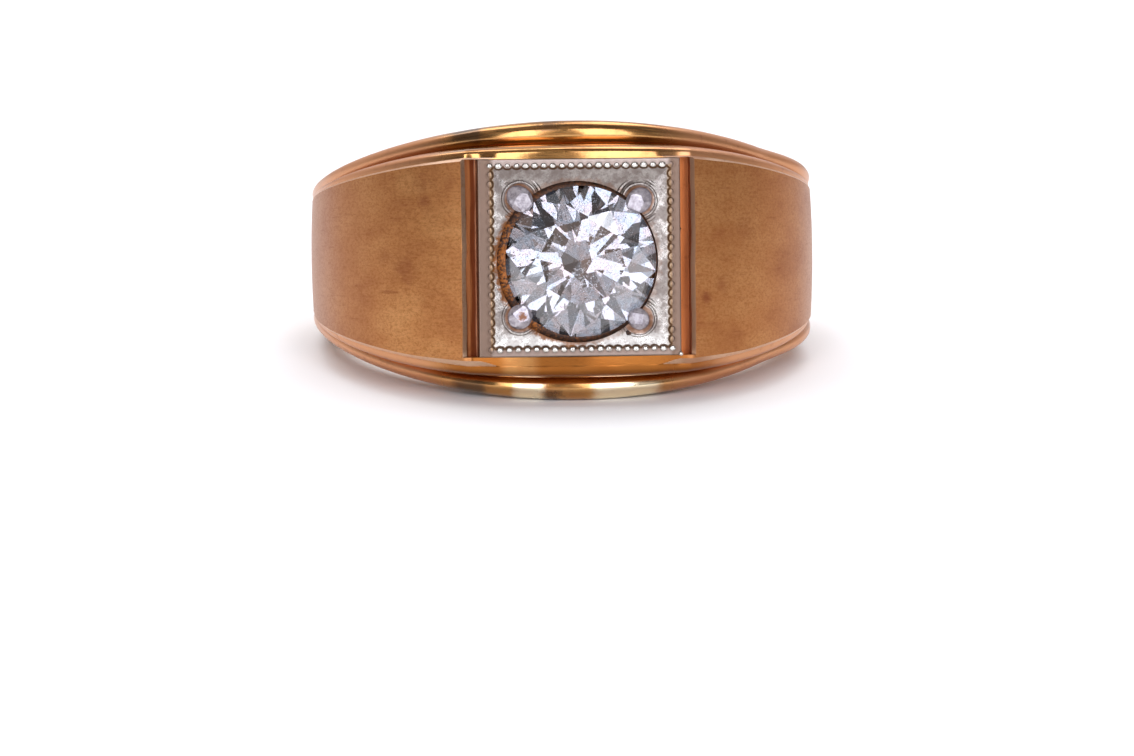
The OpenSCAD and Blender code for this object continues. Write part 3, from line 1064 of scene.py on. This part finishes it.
# Tones across the recess beside the head, from the head outwards, on its left and on its right: its
# red-brown, with painted reflection and shade in light and dark bands, the left darker than the right
LEFT_TONES_AND_SHADING = (
    (0.0, colour(190, 130, 96)),
    (0.12, colour(120, 60, 34)),
    (0.4, colour(130, 66, 36)),
    (0.55, colour(186, 116, 70)),
    (0.85, colour(160, 98, 60)),
    (0.97, colour(80, 44, 26)),
)
RIGHT_TONES_AND_SHADING = (
    (0.0, colour(90, 46, 26)),
    (0.12, colour(184, 112, 66)),
    (0.5, colour(190, 112, 64)),
    (1.0, colour(200, 130, 86)),
)


def channel_gold():
    """The recess beside the head: red-brown, with painted reflection and shade in bands across it, and
    streaks along it.
    """
    f = finish("channel_gold")
    place = f.attribute("place")
    streak = f.noise(f.stretched(place, (7, 0.3, 4)), 1.0, 3, 0.6)
    cloud = f.noise(place, 1.4, 3, 0.6)
    x = f.part(place, "X")
    across = (abs(x) - HEAD_W / 2) / CHANNEL_W + (streak - 0.5) * 0.5
    tone = f.mix(f.step(x, -1.0, 1.0), f.ramp(across, LEFT_TONES_AND_SHADING), f.ramp(across, RIGHT_TONES_AND_SHADING))
    tone = f.mix(f.step(cloud, 0.55, 0.75) * 0.4, tone, colour(110, 60, 36))
    return f.surface({"Base Color": tone, "Metallic": 1.0, "Roughness": streak * 0.15 + 0.35})


def to_beads(f, place):
    """Distance from the nearest bead's middle, seen from above, and 1 on the rows' inner side."""
    x = f.part(place, "X") - GRAIN_AT.x
    y = f.part(place, "Y") - GRAIN_AT.y
    past_x = abs(x) - GRAIN_W / 2
    past_y = abs(y) - GRAIN_H / 2

    def off_bead(along, past, span):
        pitch = span / GRAIN_COUNT
        return (abs((along / pitch + 0.5) % 1.0 - 0.5) * pitch | past) / GRAIN_LENGTH

    upright = (past_x ** 2 + off_bead(y, past_y, GRAIN_H) ** 2) ** 0.5
    level = (off_bead(x, past_x, GRAIN_W) ** 2 + past_y ** 2) ** 0.5
    return upright & level, f.step(past_x | past_y, 0.04, -0.04)


def aged(f, place, tone):
    """Adds the dark in the cuts of the milgrain, dirt and painted shade, and the brown stains round the stone
    to a white gold tone.
    """
    x = f.part(place, "X")
    y = f.part(place, "Y")
    lump = f.noise(place, 4, 4, 0.7)
    near, inner = to_beads(f, place)
    near = near + (lump - 0.5) * 0.05
    # Dark brown in the cuts between the beads: dirt and painted shade.
    cut = f.step(near, 0.1, 0.125) * f.step(near, 0.22, 0.17) * (inner * 0.8 + 0.2)
    sides = f.step(abs(x - GRAIN_AT.x), GRAIN_W / 2 - 0.24, GRAIN_W / 2 - 0.14)
    sides = sides * f.step(near, 0.26, 0.18) * inner
    from_hole = ((x - HOLE_AT.x) ** 2 + (y - HOLE_AT.y) ** 2) ** 0.5
    lower_left = f.step(x * 0.9 + y * 0.4, 0.5, -2.5)
    stain = f.step(from_hole + (lump - 0.5) * 0.8, 3.7, 3.5) * (lower_left * 0.7 + 0.3)
    for prong_x, prong_y, *_ in PRONGS:
        from_prong = ((x - prong_x) ** 2 + (y - prong_y) ** 2) ** 0.5
        stain = stain | f.step(from_prong + (lump - 0.5) * 0.2, 0.7, 0.6) * 0.75
    tone = f.mix(sides * 0.4, tone, colour(170, 134, 84))
    tone = f.mix(cut * 0.95, tone, colour(74, 50, 32))
    return f.mix(stain * 0.9, tone, colour(130, 80, 40)), cut | stain


def white_gold():
    """The dished plate, the beads and the collars: polished, hazed by fine scratches, with painted shade on
    the dish's upper facet and a painted pale reflection on its lower one.
    """
    f = finish("white_gold")
    place = f.attribute("place")
    cloud = f.noise(place, 1.6, 4, 0.65)
    scratch = f.noise(place, 9, 5, 0.8)
    wave = f.noise(place, 1.3, 2, 0.5)
    haze = f.step(cloud, 0.35, 0.6)
    tone = f.mix(haze, colour(184, 178, 172), colour(134, 124, 118))
    across = f.part(place, "Y")
    # Painted shade on the dish's upper facet, and a painted pale reflection on its lower one.
    tone = f.mix(f.step(across, 2.7, 3.2) * 0.4, tone, colour(100, 88, 84))
    tone = f.mix(f.step(across, -2.9, -3.3) * 0.55, tone, colour(206, 202, 196))
    tone = f.mix(f.step(scratch, 0.45, 0.7) * 0.6, tone, colour(92, 82, 76))
    tone, dirt = aged(f, place, tone)
    return f.surface({
        "Base Color": tone, "Metallic": 1.0,
        "Roughness": haze * 0.22 + dirt * 0.3 + 0.14,
        "Normal": f.bump(wave * 6.0 + scratch * 1.6, 0.00001, 0.8),
    })


def matte_white_gold():
    """The flat border and the sides of the head, fine matte and a little brown, with painted shade at its
    left and right and towards the bottom.
    """
    f = finish("matte_white_gold")
    place = f.attribute("place")
    fine = f.noise(place, 20, 3, 0.7)
    cloud = f.noise(place, 1.2, 3, 0.6)
    beside = f.step(abs(f.part(place, "X") - GRAIN_AT.x), 3.7, 3.95)
    below = f.step(f.part(place, "Y"), 1.0, -3.5)
    tone = f.mix(fine, colour(184, 170, 162), colour(150, 132, 124))
    # Painted shade: darker on the border's left and right strips and the head's sides, and towards the
    # bottom.
    tone = f.mix(beside | below * 0.6, tone, colour(118, 98, 86))
    tone = f.mix(f.step(cloud, 0.5, 0.7) * 0.3, tone, colour(130, 106, 92))
    tone, dirt = aged(f, place, tone)
    return f.surface({
        "Base Color": tone, "Metallic": 1.0, "Roughness": fine * 0.1 + dirt * 0.2 + 0.26,
        "Normal": f.bump(fine, 0.00001, 0.4),
    })


def prong_white_gold():
    """Prong ends, pressed and filed: grey with a touch of violet."""
    f = finish("prong_white_gold")
    place = f.attribute("place")
    lump = f.noise(place, 5, 4, 0.7)
    core = f.step(f.distance(place, PRONG_CORE_AT) + (lump - 0.5) * 0.7, 0.24, 0.1)
    tone = f.mix(f.step(lump, 0.35, 0.7), colour(196, 190, 196), colour(140, 132, 140))
    tone = f.mix(core, tone, colour(130, 84, 58))
    return f.surface({
        "Base Color": tone, "Metallic": 0.6 - core * 0.3, "Roughness": lump * 0.2 + core * 0.2 + 0.14,
        "Normal": f.bump(lump, 0.00002, 0.8),
    })


def bead_white_gold():
    """The milgrain's beads, light on top, with dark brown low down between them: dirt and painted shade."""
    f = finish("bead_white_gold")
    place = f.attribute("place")
    lump = f.noise(place, 7, 4, 0.75)
    # Dark brown low down, where the beads meet the plate and each other: dirt and painted shade.
    height = f.step(f.part(place, "Z"), PLATE_Z, PLATE_Z + 0.04)
    tone = f.mix(f.step(lump, 0.4, 0.65), colour(228, 224, 216), colour(160, 150, 142))
    return f.surface({
        "Base Color": f.mix(height, colour(84, 66, 52), tone), "Metallic": 1.0,
        "Roughness": lump * 0.2 + 0.14, "Normal": f.bump(lump, 0.00002, 0.6),
    })


def seat_white_gold():
    """The stone's seat, clean under the stone."""
    f = finish("seat_white_gold")
    cloud = f.noise(f.attribute("place"), 2, 3, 0.6)
    return f.surface({
        "Base Color": f.mix(cloud, colour(246, 243, 240), colour(232, 226, 222)), "Metallic": 1.0,
        "Roughness": cloud * 0.1 + 0.2,
    })


def grime():
    """Dried dirt: dark brown, orange where it lies thick on the left and below."""
    f = finish("grime")
    place = f.attribute("place")
    lump = f.noise(place, 8, 5, 0.75)
    heap = f.noise(place, 0.8, 2, 0.5)
    left = f.step(f.part(place, "X") * 0.95 + f.part(place, "Y") * 0.3, -0.5, -3.0)
    orange = f.step(lump + heap * 0.4, 0.64, 0.84) * (left * 0.75 + 0.14)
    tone = f.mix(f.step(lump, 0.35, 0.65), colour(36, 20, 12), colour(82, 48, 28))
    return f.surface({
        "Base Color": f.mix(orange, tone, colour(180, 104, 32)),
        "Roughness": 0.6,
        "Normal": f.bump(lump, 0.00005, 0.6),
    })


def clear_stone():
    """Clear, but its light tinted dark grey, warm in some patches and cool in others and paler where hazed:
    painted shade and painted colour flashes. Specks of dust lie on the crown.
    """
    f = finish("clear_stone")
    place = f.attribute("place")
    crown = f.step(f.part(place, "Z"), GIRDLE_Z + 0.1, GIRDLE_Z + 0.2)
    dusty = f.step(f.noise(place, 0.9, 3, 0.6), 0.35, 0.6)
    dust = f.step(f.noise(place, 11, 5, 0.85), 0.56, 0.6) * dusty * crown
    haze = f.noise(place, 5, 5, 0.8)
    hue = f.noise(place, 1.6, 4, 0.7)
    # Painted shade and colour flashes: the stone's light tinted dark grey, warm in some patches and cool in
    # others, paler where hazed.
    tone = f.mix(f.step(hue, 0.42, 0.58), (0.38, 0.3, 0.31, 1), (0.27, 0.32, 0.4, 1))
    tone = f.mix(f.step(haze, 0.35, 0.65) * 0.4, tone, (0.5, 0.5, 0.54, 1))
    return f.surface({
        "Base Color": f.mix(dust, tone, (0.56, 0.55, 0.58, 1)),
        "Transmission Weight": 1.0, "IOR": 2.417,
        "Metallic": dust, "Roughness": dust * 0.5,
    })


# Studio

def floor():
    bm = bmesh.new()
    bmesh.ops.create_grid(bm, x_segments=1, y_segments=1, size=2.5)
    mesh = bpy.data.meshes.new("floor")
    bm.to_mesh(mesh)
    bm.free()
    f = finish("pale_floor")
    fibre = f.noise(f.node("ShaderNodeTexCoord", output=3), 40, 2)
    mesh.materials.append(f.surface({
        "Base Color": f.mix(fibre, (0.9, 0.9, 0.9, 1), (0.88, 0.88, 0.88, 1)), "Roughness": 0.9,
    }))
    thing = bpy.data.objects.new("floor", mesh)
    bpy.context.scene.collection.objects.link(thing)
    return thing


def soft_box(name, turn, rise, distance, size, power, tone=(1, 1, 1)):
    """An area light that faces the ring, turned to the right of the head and risen by those angles."""
    light = bpy.data.lights.new(name, "AREA")
    light.shape = "RECTANGLE"
    light.size, light.size_y = size
    light.energy = power
    light.color = tone
    lamp = bpy.data.objects.new(name, light)
    way = Vector((math.sin(turn) * math.cos(rise), -math.cos(turn) * math.cos(rise), math.sin(rise)))
    lamp.location = way * distance
    lamp.rotation_euler = (-way).to_track_quat("-Z", "Y").to_euler()
    bpy.context.scene.collection.objects.link(lamp)
    return lamp


# Soft boxes: turn and rise in degrees, width and height in m, and power in W
BOXES = (
    ("left_box", -22, 22, (0.16, 0.5), 1.0),
    ("right_box", 18, 22, (0.2, 0.5), 1.2),
    ("left_high_box", -150, 60, (0.16, 0.3), 0.35),
    ("right_high_box", 155, 60, (0.18, 0.3), 0.4),
)
BOX_DISTANCE = 0.5
COOL = (0.94, 0.98, 1.08)
OVERHEAD = ("overhead", math.radians(180), math.radians(84), 0.8, (1.2, 0.8), 4.6)


def lights():
    """Boxes that show in the gold, and a wide light from above that lights the floor and the stone alone."""
    for name, turn, rise, size, power in BOXES:
        soft_box(name, math.radians(turn), math.radians(rise), BOX_DISTANCE, size, power, COOL)
    soft_box(*OVERHEAD).visible_glossy = False
    bpy.context.scene.world = surroundings()


ROOM_TINTS = (
    (0.1, (1, 0.74, 0.62, 1)), (0.4, (1, 0.93, 0.88, 1)), (0.7, (0.95, 0.96, 1, 1)), (0.9, (0.7, 0.82, 1, 1)),
)
ROOM_SCALE = 8
ROOM_PATCHES = 0.6      # how bright the brightest patch is
ROOM_SHADE = 0.1        # and the darkest
BACKDROP = 0.6          # how much brighter the room is behind the ring
FRONT_GLOW = 0.25       # and round the camera


def surroundings():
    """A pale room round the table: soft patches of light and shade, some a little warm or cool."""
    f = Finish(bpy.data.worlds.new("studio"))
    way = f.node("ShaderNodeTexCoord", output=0)
    patch = f.node("ShaderNodeTexVoronoi", {"feature": "SMOOTH_F1"}, {
        "Vector": way, "Scale": ROOM_SCALE, "Smoothness": 0.25,
    }, output=1)
    level = f.node("ShaderNodeSeparateColor", None, {0: patch})
    hue = f.node("ShaderNodeSeparateColor", None, {0: patch}, output=1)
    tint = f.ramp(hue, ROOM_TINTS)
    backdrop = f.step(f.part(way, "Y"), 0.0, 0.6)
    front = f.step(f.part(way, "Y"), -0.93, -0.99)
    background = f.node("ShaderNodeBackground", None, {
        "Color": tint,
        "Strength": level ** 2 * ROOM_PATCHES + backdrop * BACKDROP + front * FRONT_GLOW + ROOM_SHADE,
    })
    f.node("ShaderNodeOutputWorld", None, {"Surface": background})
    return f.owner


def camera():
    """The camera at the photograph's place, CAMERA_ASIDE off an axis that is turned, pitched and rolled."""
    data = bpy.data.cameras.new("camera")
    data.sensor_width = SENSOR_W
    data.lens = SENSOR_W * PX_PER_MM * CAMERA_DISTANCE / PHOTO_WIDTH_PX
    data.clip_start = 0.01
    view = bpy.data.objects.new("camera", data)
    turned = (
        Matrix.Rotation(CAMERA_ROLL, 4, "Z")
        @ Matrix.Rotation(-CAMERA_PITCH, 4, "X")
        @ Matrix.Rotation(CAMERA_TURN, 4, "Y")
    )
    spot = Vector((*CAMERA_ASIDE, CAMERA_DISTANCE))
    placed = LYING @ turned.inverted() @ Matrix.Translation(spot)
    location, rotation, _ = placed.decompose()
    view.location = location
    view.rotation_euler = rotation.to_euler()
    bpy.context.scene.collection.objects.link(view)
    bpy.context.scene.camera = view
    return view


bpy.context.scene.view_settings.view_transform = "Standard"
camera()
lights()
floor()
shank([satin_gold(), polished_gold(), worn_edge_gold(), channel_gold()])
setting([
    white_gold(), matte_white_gold(), grime(), prong_white_gold(), seat_white_gold(), bead_white_gold(),
])
diamond([clear_stone()])
